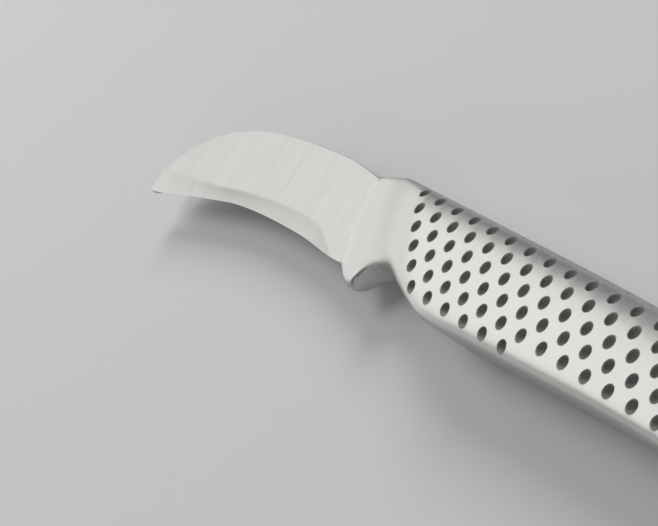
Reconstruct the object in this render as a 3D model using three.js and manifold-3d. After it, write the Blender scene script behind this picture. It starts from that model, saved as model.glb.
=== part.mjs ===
// Tourne knife: a short curved blade, a solid bolster with a finger guard and a
// hollow dimpled steel handle made of two half shells around a loose filling.
// Millimetres. X runs from the tip to the butt, Y from the edge to the spine and
// Z through the thickness; the knife lies on its side with its left face up.

import * as THREE from 'three';
import { mergeGeometries, mergeVertices } from 'three/addons/utils/BufferGeometryUtils.js';
import Module from 'manifold-3d';

const wasm = await Module();
wasm.setup();

// Blade
const BLADE_LENGTH = 62.6;
const BLADE_THICKNESS = 1.8;
const HEEL_SPINE_Y = 5.75;
const HEEL_EDGE_Y = -6.94;
const SPINE_DROP = 19.3;
const EDGE_DROP = 7.9;
const EDGE_HEEL_REACH = 24;
const EDGE_HEEL_RISE = 1.3;
const EDGE_TIP_REACH = 19.2;
const EDGE_TIP_RISE = 4.9;
const BEVEL_HEIGHT = 2.7;
const BEVEL_RUNOUT = 11;
const BEVEL_RUNOUT_POWER = 1.9;
const BEVEL_HEEL_HEIGHT = 0.05;
const BEVEL_MOST_OF_HEIGHT = 0.6;
const SPINE_CHAMFER = 0.25;
const CHAMFER_MOST_OF_HEIGHT = 0.1;

// Tang and its slot
const TANG_LENGTH = 8;
const TANG_HEIGHT = 6.5;
const TANG_THICKNESS = 1.3;
const TANG_CENTRE_Y = -0.4;
const TANG_CLEARANCE = 0.15;
const SHOULDER_GAP = 0.15;

// Slanted joint line between blade and bolster
const LINE_SLOPE = 0.35;
const LINE_BOW = 0.012;
const LINE_OFFSET = 0.3;
const LINE_FADE_BLADE = 12;

// Bolster, guard and finger notch, by station along the handle
const BOLSTER_LENGTH = 12;
const BOLSTER_FRONT_THICKNESS = 3;
const BOLSTER_TOP_Y = 5.9;
const BOLSTER_BOTTOM_Y = -6.95;
const GUARD_STATION = 4.6;
const GUARD_BOTTOM_Y = -9.4;
const NOTCH_FRONT_STATION = 10.2;
const NOTCH_FRONT_Y = -6.3;
const NOTCH_STATION = 18;
const NOTCH_BOTTOM_Y = -3.9;
const FLARE_LENGTH = 24.3;
const FLARE_SLANT = 0.68;

// Handle
const HANDLE_LENGTH = 105;
const HANDLE_THICKNESS = 12;
const THICKEST_Y = -2;
const SHOULDER_STATION = 8.5;
const SHOULDER_TOP_Y = 7.65;
const MID_STATION = 66;
const MID_TOP_Y = 8.65;
const BUTT_TOP_Y = 6.9;
const SWELL_STATION = 33.5;
const SWELL_BOTTOM_Y = -6.97;
const BELLY_STATION = 44;
const BELLY_BOTTOM_Y = -6.3;
const WAIST_STATION = 88;
const WAIST_BOTTOM_Y = -4.15;
const BUTT_BOTTOM_Y = -5.9;
const BUTT_THICKNESS = 11;
const BUTT_ROUND = 8;
const SPINE_FULLNESS = 4.5;
const BELLY_FULLNESS = 7;

// Hollow handle
const SHELL_WALL = 1.2;
const FILL_CLEARANCE = 0.3;

// Dimples, in rows along the handle, each row half a pitch behind the one above
const DIMPLE_PITCH = 4.57;
const DIMPLE_ROW_PITCH = 2.285;
const DIMPLE_ROWS = 6;
const DIMPLE_RADIUS = 1.05;
const DIMPLE_FLOOR_RADIUS = 0.8;
const DIMPLE_DEPTH = 0.5;
const DIMPLE_SIDES = 8;
const DIMPLE_FIRST_X = 17.25;
const DIMPLE_TOP_Y = 6.9;
const DIMPLE_BELLY_MARGIN = 1.5;
const DIMPLE_BUTT_MARGIN = 15;

// Fineness of the surfaces, and how far a cutter runs past the surface it cuts
const OUTER_GRID = { frontSpacing: 2.5, rearSpacing: 9, spineSteps: 8, bellySteps: 6 };
const INNER_GRID = { frontSpacing: 4, rearSpacing: 12, spineSteps: 5, bellySteps: 4 };
const BUTT_RING_DEGREES = [0, 20, 40, 58, 72, 83];
const BOLSTER_SPANS = 11;
const BLADE_SPANS = 34;
const BLADE_SPAN_POWER = 1.5;
const BLADE_FLAT_STEPS = 4;
const CUTTER_OVERRUN = 0.6;

// Materials
const bladeSteel = new THREE.MeshStandardMaterial({ color: 0xced0cf, roughness: 0.38, metalness: 0.9 });
const bolsterSteel = new THREE.MeshStandardMaterial({ color: 0xd6d7d6, roughness: 0.3, metalness: 0.9 });
const shellSteel = new THREE.MeshStandardMaterial({ color: 0xd6d7d6, roughness: 0.3, metalness: 0.9 });
const sand = new THREE.MeshStandardMaterial({ color: 0xb8a888, roughness: 0.95, metalness: 0 });

// Smooth height through a short list of [station, value] pairs, level at each turn
function profile(pairs) {
  const slopes = pairs.map((pair, i) => {
    if (i === 0 || i === pairs.length - 1) {
      return 0;
    }
    const before = (pair[1] - pairs[i - 1][1]) / (pair[0] - pairs[i - 1][0]);
    const after = (pairs[i + 1][1] - pair[1]) / (pairs[i + 1][0] - pair[0]);
    return before * after > 0 ? 2 * before * after / (before + after) : 0;
  });
  return (station) => {
    let i = 0;
    while (i < pairs.length - 2 && station > pairs[i + 1][0]) {
      i += 1;
    }
    const span = pairs[i + 1][0] - pairs[i][0];
    const t = THREE.MathUtils.clamp((station - pairs[i][0]) / span, 0, 1);
    const rise = pairs[i + 1][1] - pairs[i][1];
    const ease = rise * t * t * (3 - 2 * t);
    const lead = slopes[i] * span * t * (1 - t) * (1 - t);
    const trail = slopes[i + 1] * span * t * t * (1 - t);
    return pairs[i][1] + ease + lead - trail;
  };
}

// Height of a plane curve where it passes a given X; X falls steadily along the curve
function heightOn(curve, x) {
  let low = 0;
  let high = 1;
  for (let step = 0; step < 40; step += 1) {
    const middle = (low + high) / 2;
    if (curve.getPoint(middle).x > x) {
      low = middle;
    } else {
      high = middle;
    }
  }
  return curve.getPoint((low + high) / 2).y;
}

// Closed body through half sections, mirrored across the middle plane.
// Each half section runs from a point on the plane down the left side to another.
function loft(halves) {
  const count = halves[0].length;
  const ring = 2 * count - 2;
  const positions = [];
  for (const half of halves) {
    for (const point of half) {
      positions.push(point.x, point.y, point.z);
    }
    for (let i = count - 2; i > 0; i -= 1) {
      positions.push(half[i].x, half[i].y, -half[i].z);
    }
  }
  const index = [];
  for (let r = 0; r + 1 < halves.length; r += 1) {
    for (let i = 0; i < ring; i += 1) {
      const a = r * ring + i;
      const b = r * ring + (i + 1) % ring;
      index.push(a, b, a + ring, b, b + ring, a + ring);
    }
  }
  const last = (halves.length - 1) * ring;
  for (let i = 0; i + 1 < count; i += 1) {
    const near = i;
    const nearNext = i + 1;
    const far = (ring - i) % ring;
    const farNext = ring - i - 1;
    if (i > 0) {
      index.push(near, far, nearNext);
      index.push(last + near, last + nearNext, last + far);
    }
    if (i + 2 < count) {
      index.push(far, farNext, nearNext);
      index.push(last + far, last + nearNext, last + farNext);
    }
  }
  const geometry = new THREE.BufferGeometry();
  geometry.setAttribute('position', new THREE.Float32BufferAttribute(positions, 3));
  geometry.setIndex(index);
  return geometry;
}

function solid(geometry) {
  const bare = geometry.clone();
  bare.deleteAttribute('normal');
  bare.deleteAttribute('uv');
  const merged = mergeVertices(bare, 1e-4);
  const mesh = new wasm.Mesh({
    numProp: 3,
    vertProperties: new Float32Array(merged.attributes.position.array),
    triVerts: new Uint32Array(merged.index.array),
  });
  return new wasm.Manifold(mesh);
}

function geometryOf(body) {
  const mesh = body.getMesh();
  const geometry = new THREE.BufferGeometry();
  geometry.setAttribute('position', new THREE.BufferAttribute(new Float32Array(mesh.vertProperties), 3));
  geometry.setIndex(new THREE.BufferAttribute(new Uint32Array(mesh.triVerts), 1));
  geometry.computeVertexNormals();
  return geometry;
}

function block(fromX, toX, fromY, toY, fromZ, toZ) {
  const box = new THREE.BoxGeometry(toX - fromX, toY - fromY, toZ - fromZ);
  box.translate((fromX + toX) / 2, (fromY + toY) / 2, (fromZ + toZ) / 2);
  return solid(box);
}

// The joint line leans forward at the spine and is bowed towards the tip
function jointLineX(y) {
  return -LINE_SLOPE * y - LINE_OFFSET + LINE_BOW * y * y;
}

// Handle outline by station
const topY = profile([
  [0, BOLSTER_TOP_Y],
  [SHOULDER_STATION, SHOULDER_TOP_Y],
  [MID_STATION, MID_TOP_Y],
  [HANDLE_LENGTH, BUTT_TOP_Y],
]);
const bottomY = profile([
  [0, BOLSTER_BOTTOM_Y],
  [GUARD_STATION, GUARD_BOTTOM_Y],
  [NOTCH_FRONT_STATION, NOTCH_FRONT_Y],
  [NOTCH_STATION, NOTCH_BOTTOM_Y],
  [SWELL_STATION, SWELL_BOTTOM_Y],
  [BELLY_STATION, BELLY_BOTTOM_Y],
  [WAIST_STATION, WAIST_BOTTOM_Y],
  [HANDLE_LENGTH, BUTT_BOTTOM_Y],
]);

// Half thickness, swelling from the joint line to the full handle and easing in at the butt
function halfThickness(x, y) {
  const flareEnd = jointLineX(y) + FLARE_LENGTH - FLARE_SLANT * y;
  const flare = THREE.MathUtils.smoothstep(x, jointLineX(y), flareEnd);
  const rear = THREE.MathUtils.smoothstep(x, WAIST_STATION, HANDLE_LENGTH);
  const front = THREE.MathUtils.lerp(BOLSTER_FRONT_THICKNESS, HANDLE_THICKNESS, flare);
  return (front - (HANDLE_THICKNESS - BUTT_THICKNESS) * rear) / 2;
}

// Half section at a station, drawn in by an offset and shrunk about its middle
function handleHalf(station, offset, shrink, { spineSteps, bellySteps }) {
  const top = topY(station) - offset;
  const bottom = bottomY(station) + offset;
  const middle = (top + bottom) / 2;
  const lean = Math.max(0, 1 - station / BOLSTER_LENGTH);
  const points = [];
  const add = (angle, reach, fullness) => {
    const level = THICKEST_Y + reach * Math.sin(angle);
    const x = station + lean * jointLineX(level);
    const y = middle + (level - middle) * shrink;
    const half = (halfThickness(x, level) - offset) * shrink;
    const z = half * Math.max(0, Math.cos(angle)) ** (2 / fullness);
    points.push(new THREE.Vector3(x, y, z));
  };
  for (let i = 0; i < spineSteps; i += 1) {
    const angle = Math.PI / 2 * (1 - (i / spineSteps) ** 2);
    add(angle, top - THICKEST_Y, SPINE_FULLNESS);
  }
  for (let i = 0; i <= bellySteps; i += 1) {
    const angle = -Math.PI / 2 * (1 - (1 - i / bellySteps) ** 2);
    add(angle, THICKEST_Y - bottom, BELLY_FULLNESS);
  }
  points[0].z = 0;
  points[points.length - 1].z = 0;
  return points;
}

// Evenly spaced stations from one place up to the next, without the last
function stations(from, to, spacing) {
  const spans = Math.ceil((to - from) / spacing);
  return Array.from({ length: spans }, (_, i) => from + (to - from) * i / spans);
}

// Handle body from one station to the butt, drawn in by an offset
function handleBody(start, offset, grid) {
  const round = BUTT_ROUND - offset;
  const roundStart = HANDLE_LENGTH - BUTT_ROUND;
  const plain = [
    ...stations(start, SWELL_STATION, grid.frontSpacing),
    ...stations(SWELL_STATION, roundStart, grid.rearSpacing),
  ];
  const halves = plain.map((station) => handleHalf(station, offset, 1, grid));
  for (const degrees of BUTT_RING_DEGREES) {
    const angle = THREE.MathUtils.degToRad(degrees);
    const station = roundStart + round * Math.sin(angle);
    halves.push(handleHalf(station, offset, Math.cos(angle), grid));
  }
  return loft(halves);
}

// Blade outline: the spine falls to the tip, the edge hollows towards it
const tipX = -BLADE_LENGTH;
const spineShape = [
  [0, 0],
  [0.2, 0.005],
  [0.42, 0.042],
  [0.62, 0.14],
  [0.81, 0.365],
  [0.925, 0.65],
  [1, 1],
];
const spineCurve = new THREE.SplineCurve(spineShape.map(([along, drop]) => (
  new THREE.Vector2(tipX * along, HEEL_SPINE_Y - SPINE_DROP * drop)
)));
const edgeHeelX = jointLineX(HEEL_EDGE_Y);
const tipEdgeY = HEEL_EDGE_Y - EDGE_DROP;
const edgeCurve = new THREE.CubicBezierCurve(
  new THREE.Vector2(edgeHeelX, HEEL_EDGE_Y),
  new THREE.Vector2(edgeHeelX - EDGE_HEEL_REACH, HEEL_EDGE_Y + EDGE_HEEL_RISE),
  new THREE.Vector2(tipX + EDGE_TIP_REACH, tipEdgeY + EDGE_TIP_RISE),
  new THREE.Vector2(tipX, tipEdgeY),
);

function spineAt(x) {
  return x > 0 ? HEEL_SPINE_Y : heightOn(spineCurve, x);
}

function edgeAt(x) {
  return heightOn(edgeCurve, x);
}

// Bevel height, running out to nothing at the heel
function bevelAt(x) {
  const start = edgeHeelX - BEVEL_RUNOUT;
  const share = THREE.MathUtils.clamp((x - start) / BEVEL_RUNOUT, 0, 1);
  return Math.max(BEVEL_HEEL_HEIGHT, BEVEL_HEIGHT * (1 - share ** BEVEL_RUNOUT_POWER));
}

function bladeHalf(station) {
  const lean = Math.max(0, 1 + station / LINE_FADE_BLADE);
  const place = (y) => station - SHOULDER_GAP + lean * jointLineX(y);
  const spine = spineAt(place(spineAt(station)));
  const edgeX = place(HEEL_EDGE_Y);
  const edge = edgeAt(edgeX);
  const height = spine - edge;
  const bevel = Math.min(bevelAt(edgeX), BEVEL_MOST_OF_HEIGHT * height);
  const half = BLADE_THICKNESS / 2 * Math.min(1, height / BEVEL_HEIGHT);
  const chamfer = Math.min(SPINE_CHAMFER, CHAMFER_MOST_OF_HEIGHT * height);
  const levels = [];
  for (let i = 0; i <= BLADE_FLAT_STEPS; i += 1) {
    levels.push(THREE.MathUtils.lerp(spine - chamfer, edge + bevel, i / BLADE_FLAT_STEPS));
  }
  const points = [
    new THREE.Vector3(place(spine), spine, 0),
    new THREE.Vector3(place(spine), spine, half - chamfer),
  ];
  for (const level of levels) {
    points.push(new THREE.Vector3(place(level), level, half));
  }
  points.push(new THREE.Vector3(place(edge), edge, 0));
  return points;
}

function bladeGeometry() {
  const halves = [];
  for (let i = 0; i <= BLADE_SPANS; i += 1) {
    const along = 1 - (1 - i / BLADE_SPANS) ** BLADE_SPAN_POWER;
    halves.push(bladeHalf((tipX + SHOULDER_GAP) * along));
  }
  halves.reverse();
  const tang = block(
    jointLineX(TANG_CENTRE_Y) - TANG_HEIGHT * LINE_SLOPE,
    jointLineX(TANG_CENTRE_Y) + TANG_LENGTH,
    TANG_CENTRE_Y - TANG_HEIGHT / 2,
    TANG_CENTRE_Y + TANG_HEIGHT / 2,
    -TANG_THICKNESS / 2,
    TANG_THICKNESS / 2,
  );
  return geometryOf(solid(loft(halves)).add(tang));
}

function bolsterGeometry() {
  const halves = [];
  for (let i = 0; i <= BOLSTER_SPANS; i += 1) {
    halves.push(handleHalf(BOLSTER_LENGTH * i / BOLSTER_SPANS, 0, 1, OUTER_GRID));
  }
  const slot = block(
    jointLineX(TANG_CENTRE_Y) - TANG_HEIGHT * LINE_SLOPE,
    jointLineX(TANG_CENTRE_Y) + TANG_LENGTH + TANG_CLEARANCE,
    TANG_CENTRE_Y - TANG_HEIGHT / 2 - TANG_CLEARANCE,
    TANG_CENTRE_Y + TANG_HEIGHT / 2 + TANG_CLEARANCE,
    -TANG_THICKNESS / 2 - TANG_CLEARANCE,
    TANG_THICKNESS / 2 + TANG_CLEARANCE,
  );
  return geometryOf(solid(loft(halves)).subtract(slot));
}

// Outer surface of the handle: half thickness at a station and height
function surfaceZ(station, y) {
  const upper = y > THICKEST_Y;
  const reach = upper ? topY(station) - THICKEST_Y : THICKEST_Y - bottomY(station);
  const share = Math.min(1, Math.abs(y - THICKEST_Y) / reach);
  const fullness = upper ? SPINE_FULLNESS : BELLY_FULLNESS;
  return halfThickness(station, y) * (1 - share * share) ** (1 / fullness);
}

// Heights of the dimple rows, equally spaced along the curve of the section
function dimpleRows() {
  const step = 0.01;
  const rows = [DIMPLE_TOP_Y];
  let y = DIMPLE_TOP_Y;
  let run = 0;
  while (rows.length < DIMPLE_ROWS) {
    const rise = surfaceZ(SWELL_STATION, y - step) - surfaceZ(SWELL_STATION, y);
    run += Math.hypot(step, rise);
    y -= step;
    if (run >= DIMPLE_ROW_PITCH) {
      rows.push(y);
      run = 0;
    }
  }
  return rows;
}

function dimpleCutters() {
  const slope = (DIMPLE_RADIUS - DIMPLE_FLOOR_RADIUS) / DIMPLE_DEPTH;
  const cutters = [];
  dimpleRows().forEach((y, row) => {
    let x = DIMPLE_FIRST_X + row * DIMPLE_PITCH / 2;
    while (x < HANDLE_LENGTH - DIMPLE_BUTT_MARGIN) {
      if (y - bottomY(x) >= DIMPLE_BELLY_MARGIN) {
        const tilt = Math.atan2(surfaceZ(x, y - 0.1) - surfaceZ(x, y + 0.1), 0.2);
        const cutter = new THREE.CylinderGeometry(
          DIMPLE_RADIUS + CUTTER_OVERRUN * slope,
          DIMPLE_FLOOR_RADIUS,
          DIMPLE_DEPTH + CUTTER_OVERRUN,
          DIMPLE_SIDES,
        );
        cutter.translate(0, (CUTTER_OVERRUN - DIMPLE_DEPTH) / 2, 0);
        cutter.rotateX(Math.PI / 2 - tilt);
        cutter.translate(x, y, surfaceZ(x, y));
        cutters.push(cutter);
      }
      x += DIMPLE_PITCH;
    }
  });
  return mergeGeometries(cutters);
}

// One half of the hollow handle, left (+1) or right (-1)
function shellGeometry(side) {
  const outer = solid(handleBody(BOLSTER_LENGTH, 0, OUTER_GRID));
  const inner = solid(handleBody(BOLSTER_LENGTH - CUTTER_OVERRUN, SHELL_WALL, INNER_GRID));
  const reach = HANDLE_LENGTH * 2;
  const halfSpace = side > 0
    ? block(-reach, reach, -reach, reach, 0, reach)
    : block(-reach, reach, -reach, reach, -reach, 0);
  const cutters = dimpleCutters();
  if (side < 0) {
    cutters.rotateX(Math.PI);
    cutters.scale(1, -1, 1);
    const order = cutters.index.array;
    for (let i = 0; i < order.length; i += 3) {
      [order[i], order[i + 1]] = [order[i + 1], order[i]];
    }
  }
  return geometryOf(outer.subtract(inner).intersect(halfSpace).subtract(solid(cutters)));
}

function fillGeometry() {
  const start = BOLSTER_LENGTH + FILL_CLEARANCE;
  return handleBody(start, SHELL_WALL + FILL_CLEARANCE, INNER_GRID);
}

function piece(name, geometry, material) {
  const mesh = new THREE.Mesh(geometry, material);
  mesh.name = name;
  return mesh;
}

const knife = new THREE.Group();
knife.add(piece('blade', bladeGeometry(), bladeSteel));
knife.add(piece('bolster', bolsterGeometry(), bolsterSteel));
knife.add(piece('handle_shell_left', shellGeometry(1), shellSteel));
knife.add(piece('handle_shell_right', shellGeometry(-1), shellSteel));
knife.add(piece('sand_fill', fillGeometry(), sand));

// Origin at the middle of the underside of the knife as it lies
const box = new THREE.Box3().setFromObject(knife);
const centre = box.getCenter(new THREE.Vector3());
knife.position.set(-centre.x, -centre.y, -box.min.z);
knife.updateMatrixWorld(true);

export default knife;
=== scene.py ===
"""Looks of a tourne knife: cross-ground blade, bolster with a finger guard, dimpled hollow handle."""

import math

import bmesh
import bpy
import numpy as np
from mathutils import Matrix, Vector


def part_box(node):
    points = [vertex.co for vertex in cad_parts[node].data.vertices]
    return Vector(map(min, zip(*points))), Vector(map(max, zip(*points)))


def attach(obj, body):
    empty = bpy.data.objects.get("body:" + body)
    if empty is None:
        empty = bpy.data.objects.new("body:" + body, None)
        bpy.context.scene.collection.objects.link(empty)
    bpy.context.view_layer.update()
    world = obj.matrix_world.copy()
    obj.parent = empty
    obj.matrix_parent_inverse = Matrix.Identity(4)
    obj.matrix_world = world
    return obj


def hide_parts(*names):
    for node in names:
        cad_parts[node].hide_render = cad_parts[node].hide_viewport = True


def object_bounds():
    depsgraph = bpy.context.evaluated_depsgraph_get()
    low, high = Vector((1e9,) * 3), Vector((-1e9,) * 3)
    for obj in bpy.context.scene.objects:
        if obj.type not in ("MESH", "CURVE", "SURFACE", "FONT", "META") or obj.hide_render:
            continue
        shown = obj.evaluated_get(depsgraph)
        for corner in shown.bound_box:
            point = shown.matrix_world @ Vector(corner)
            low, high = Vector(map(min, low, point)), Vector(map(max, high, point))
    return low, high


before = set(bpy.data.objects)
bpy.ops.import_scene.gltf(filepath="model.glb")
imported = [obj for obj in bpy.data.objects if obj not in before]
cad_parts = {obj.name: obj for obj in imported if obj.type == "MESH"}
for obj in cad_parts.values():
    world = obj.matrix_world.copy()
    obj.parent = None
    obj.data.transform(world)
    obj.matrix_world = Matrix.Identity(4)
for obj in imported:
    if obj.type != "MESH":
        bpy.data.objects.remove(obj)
CAD_BOX = [list(corner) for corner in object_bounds()]

bl_info = {
    "name": "Tourne Knife",
    "version": (1, 0, 0),
    "blender": (4, 5, 0),
    "location": "View3D > Sidebar > Tourne Knife",
    "description": "Models and finishes a tourne knife around its packed construction",
    "category": "Add Mesh",
}

MM = 0.001
RIGHT_ANGLE = math.pi / 2

# How close two places count as one: for welding and cutting, and for picking
WELD = 1e-7
NEAR = 1e-6


# Settings

def size(name, description, millimetres):
    """A length that is written in millimetres and kept in metres."""
    return bpy.props.FloatProperty(
        name=name, description=description, default=millimetres * MM, unit="LENGTH", precision=5
    )


def spot(name, description, station, height):
    """A place along the handle and the height of an outline there, written in millimetres."""
    return bpy.props.FloatVectorProperty(
        name=name,
        description=description,
        default=(station * MM, height * MM),
        size=2,
        unit="LENGTH",
        precision=5,
    )


def number(name, description, value):
    """A plain number, such as a power or a strength."""
    return bpy.props.FloatProperty(name=name, description=description, default=value)


def tint(name, description, value):
    """A linear colour."""
    return bpy.props.FloatVectorProperty(
        name=name, description=description, default=value, subtype="COLOR", min=0.0, max=1.0
    )


class TourneBladeSettings(bpy.types.PropertyGroup):
    """Sizes and finish of the blade."""

    length: size("Length", "Joint line to tip, along the handle's axis", 62.6)
    thickness: size("Thickness", "Thickness of the flat sides", 1.8)
    heel_spine: size("Heel spine", "Height of the spine at the joint", 5.75)
    heel_edge: size("Heel edge", "Height of the edge at the joint", -6.94)
    spine_drop: size("Spine drop", "Fall of the spine from heel to tip", 19.3)
    edge_drop: size("Edge drop", "Fall of the edge from heel to tip", 7.9)
    bevel_tip: size("Bevel at tip", "Height of the ground bevel at the tip", 4.3)
    bevel_middle: size("Bevel at middle", "Height of the bevel where it is narrowest", 2.4)
    bevel_heel: size("Bevel at heel", "Height of the bevel before it dies out", 3.25)
    bevel_end: size("Bevel end", "Where the bevel has died out near the heel", -0.5)
    bevel_runout: size("Bevel runout", "Length over which the bevel dies out", 9.5)
    bevel_power: number("Runout power", "Roundness of the bevel's end", 2.0)
    bevel_ease: size("Bevel ease", "Height over which flat and bevel blend", 0.5)
    bevel_hollow: number("Bevel hollow", "How hollow the bevel is ground, 0 for flat", 0.25)
    nose_length: size("Nose length", "Length over which the edge thickens to the blunt tip", 5.0)
    nose_blunt: number("Nose bluntness", "Share of the bevel's depth left standing at the tip", 0.5)
    edge_width: size("Edge width", "Width of the cutting edge itself", 0.06)
    spine_round: size("Spine round", "Radius along the spine's corners", 0.1)
    tang_length: size("Tang length", "Length of the tang in the bolster", 8.0)
    tang_height: size("Tang height", "Height of the tang", 6.5)
    tang_thickness: size("Tang thickness", "Thickness of the tang", 1.3)
    tang_centre: size("Tang centre", "Height of the tang's middle line", -0.4)
    tang_clearance: size("Tang clearance", "Room round the tang in its slot", 0.15)
    shoulder_gap: size("Shoulder gap", "Fine joint between blade and bolster", 0.15)
    steel: tint("Steel", "Colour of the ground blade", (0.485, 0.485, 0.472))


class TourneHandleSettings(bpy.types.PropertyGroup):
    """Sizes and finish of the bolster and the handle."""

    line_slope: number("Line slope", "Lean of the joint line", 0.307)
    line_bow: number("Line bow", "Bow of the joint line, per metre", 19.0)
    line_offset: size("Line offset", "Place of the joint line's middle", -0.539)
    line_fade: size("Line fade", "Length over which the blade's sections lose the lean", 12.0)
    bolster_length: size("Bolster length", "Joint line to the hollow handle", 12.0)
    front_thickness: size("Front thickness", "Thickness of the bolster at the joint line", 3.0)
    front_round: size("Front round", "Radius along the bolster's front edge", 0.12)
    joint_groove: size("Joint groove", "Depth of the fine line along the joint", 0.07)
    joint_width: size("Joint width", "Half the width of that line", 0.28)
    bolster_top: size("Bolster top", "Height of the bolster's front on the spine side", 6.27)
    neck: spot("Neck", "Where the top line leaves the joint", 2.0, 6.67)
    rise: spot("Rise", "Middle of the top line's rise", 5.0, 7.37)
    bolster_bottom: size("Bolster bottom", "Height of the bolster's front on the edge side", -6.85)
    nose: spot("Nose", "Front of the guard's rounded nose", 1.5, -7.3)
    guard: spot("Guard", "Where the guard's underside starts", 3.0, -7.75)
    guard_end: spot("Guard end", "Lowest place of the guard", 5.3, -8.08)
    guard_back: spot("Guard back", "Where the guard's underside starts to rise", 7.2, -7.85)
    notch_start: spot("Notch start", "Where the guard runs into the finger notch", 9.3, -6.6)
    notch_front: spot("Notch front", "Front of the finger notch", 11.7, -5.4)
    notch_rise: spot("Notch rise", "Where the finger notch levels out", 14.8, -4.25)
    notch: spot("Notch", "Deepest place of the finger notch", 18.5, -3.85)
    keel_depth: size("Keel", "How far the guard's underside bulges below its edges", 0.95)
    keel_fade: size("Keel fade", "Where the bulge has died out in the finger notch", 12.0)
    notch_end: spot("Notch end", "Where the finger notch runs into the belly", 24.0, -5.18)
    guard_fullness: number("Guard fullness", "Squareness of the section at the guard", 18.0)
    notch_fullness: number("Notch fullness", "Squareness of the section at the finger notch", 8.0)
    flare_length: size("Flare length", "Length over which the handle swells to its thickness", 24.3)
    flare_slant: number("Flare slant", "Lean of the flare's end", 0.68)
    length: size("Length", "Joint line to butt", 105.0)
    thickness: size("Thickness", "Thickness of the handle", 12.0)
    thickest: size("Thickest height", "Height at which the section is thickest", -2.0)
    shoulder: spot("Shoulder", "Where the top line meets the handle", 8.5, 7.89)
    front: spot("Front", "Front of the handle's top line", 14.0, 7.9)
    grip: spot("Grip", "Where the top line rises on", 30.0, 8.17)
    mid: spot("Middle", "Highest place of the handle", 66.0, 8.649)
    butt_top: size("Butt top", "Top of the butt", 6.9)
    swell: spot("Swell", "Lowest place of the belly", 33.5, -6.97)
    belly: spot("Belly", "Where the belly starts to rise", 44.0, -6.3)
    waist: spot("Waist", "Where the belly turns down to the butt", 88.0, -4.15)
    butt_bottom: size("Butt bottom", "Bottom of the butt", -5.9)
    butt_thickness: size("Butt thickness", "Thickness at the butt", 11.0)
    butt_round: size("Butt round", "Length of the rounded butt", 8.0)
    spine_fullness: number("Spine fullness", "Squareness of the section above its middle", 6.2)
    belly_fullness: number("Belly fullness", "Squareness of the section below its middle", 10.5)
    wall: size("Wall", "Thickness of the hollow handle's wall", 1.2)
    steel: tint("Steel", "Colour of the satin handle", (0.485, 0.485, 0.47))


class TourneDimpleSettings(bpy.types.PropertyGroup):
    """Pattern and finish of the dimples."""

    pitch: size("Pitch", "Spacing along a row", 4.57)
    rows: bpy.props.IntProperty(name="Rows", description="Rows on each side", default=6)
    radius: size("Radius", "Radius of the painted cup", 0.82)
    lip: size("Lip", "Width of the rolled lip round the cup", 0.06)
    paint_edge: size("Paint edge", "Width over which the paint thins out round the lip", 0.12)
    depth: size("Depth", "Depth of the cup", 0.9)
    first_station: size("First station", "Place of the first dimple of the top row", 17.45)
    top_row: size("Top row", "Height of the top row", 6.96)
    belly_margin: size("Belly margin", "Least height of a dimple above the belly", 1.5)
    butt_margin: size("Butt margin", "Plain length at the butt", 15.0)
    paint: tint("Paint", "Colour of the dark paint in the cups", (0.17, 0.17, 0.16))


class TourneStageSettings(bpy.types.PropertyGroup):
    """Camera, floor and light."""

    camera_place: bpy.props.FloatVectorProperty(
        name="Camera place",
        description="Camera measured from the middle of the joint line",
        default=(0.23217, -0.00337, 0.13699),
        subtype="TRANSLATION",
        unit="LENGTH",
    )
    camera_turn: bpy.props.FloatVectorProperty(
        name="Camera turn",
        description="Camera's rotation",
        default=tuple(math.radians(angle) for angle in (42.5505, 46.5740, 52.7548)),
        subtype="EULER",
    )
    camera_lens: number("Lens", "Focal length in millimetres on a 36 mm wide frame", 106.043)
    floor: tint("Floor", "Colour of the pale floor", (0.53, 0.53, 0.53))
    sky: number("Sky", "Strength of the even light from all round", 0.16)
    overhead: number("Overhead", "Power of the soft lamp above, in watts", 1.62)
    spine_side: number("Spine side", "Power of the soft lamp on the spine side, in watts", 15.6)
    softbox_low: number("Low softbox", "Power of the softbox beyond the tip, lowest part, in watts", 0.48)
    softbox_middle: number("Middle softbox", "Power of its middle part, in watts", 0.22)
    softbox_high: number("High softbox", "Power of its upper half, in watts", 1.38)
    card: number("Card", "Power of the grey card on the edge side, in watts", 0.25)
    front_card: number("Front card", "Power of the soft card towards the butt and the edge, in watts", 0.9)


def settings(name):
    """The scene's settings of one kind: blade, handle, dimples or stage."""
    return getattr(bpy.context.scene, "tourne_" + name)


# Outlines

def smoothstep(value, low, high):
    """Eases from 0 at low to 1 at high."""
    share = np.clip((value - low) / (high - low), 0.0, 1.0)
    return share * share * (3.0 - 2.0 * share)


def profile(pairs):
    """Smooth height through a few (station, height) pairs, level at each turn."""
    stations, heights = np.array([tuple(pair) for pair in pairs]).T
    slopes = np.diff(heights) / np.diff(stations)
    turns = np.zeros(len(pairs))
    rising = slopes[:-1] * slopes[1:] > 0
    turns[1:-1][rising] = (2 * slopes[:-1] * slopes[1:])[rising] / (slopes[:-1] + slopes[1:])[rising]

    def height(station):
        i = np.clip(np.searchsorted(stations, station) - 1, 0, len(pairs) - 2)
        span = stations[i + 1] - stations[i]
        t = np.clip((station - stations[i]) / span, 0.0, 1.0)
        ease = (heights[i + 1] - heights[i]) * t * t * (3 - 2 * t)
        lead = turns[i] * span * t * (1 - t) ** 2
        trail = turns[i + 1] * span * t * t * (1 - t)
        return heights[i] + ease + lead - trail

    return height


def joint_line(height):
    """Place of the slanted joint line at a height."""
    h = settings("handle")
    return -h.line_slope * height - h.line_offset + h.line_bow * height * height


# Angles in a quarter of the section, and how much they crowd towards its top and bottom
QUARTER_STEPS = 60
QUARTER_CROWDING = 3
# Largest share of the way to the middle plane on which the sheet keeps its true width
TRUE_WIDTH = 0.9
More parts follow.
